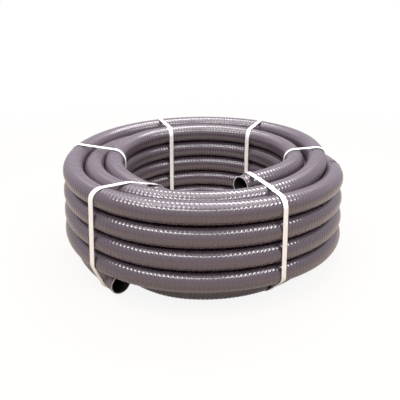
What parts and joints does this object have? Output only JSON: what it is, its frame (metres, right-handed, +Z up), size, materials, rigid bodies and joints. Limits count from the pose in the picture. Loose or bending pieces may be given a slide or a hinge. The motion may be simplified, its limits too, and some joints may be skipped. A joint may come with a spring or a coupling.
{
  "type": "flexible drain hose coil",
  "caption": "Coil of grey flexible ribbed drain hose, stacked and bedded in columns, tied with white straps, with both ends cut open.",
  "frame": {"origin": "centre of the coil's outline on the floor that it stands on", "axes": "+Z up along the coil's axis; -Y is the front, where the hose's open end lies on the floor; +X is to the right seen from the front"},
  "size_m": [0.7406, 0.7397, 0.2619],
  "materials": {
    "hose_pvc": "glossy grey PVC",
    "strapping": "satin white strapping"
  },
  "bodies": {
    "root": {"hose": "hose_pvc", "strap_front_left": "strapping", "strap_front_right": "strapping", "strap_right": "strapping", "strap_back_right": "strapping", "strap_back_left": "strapping", "strap_left": "strapping"}
  },
  "joints": []
}
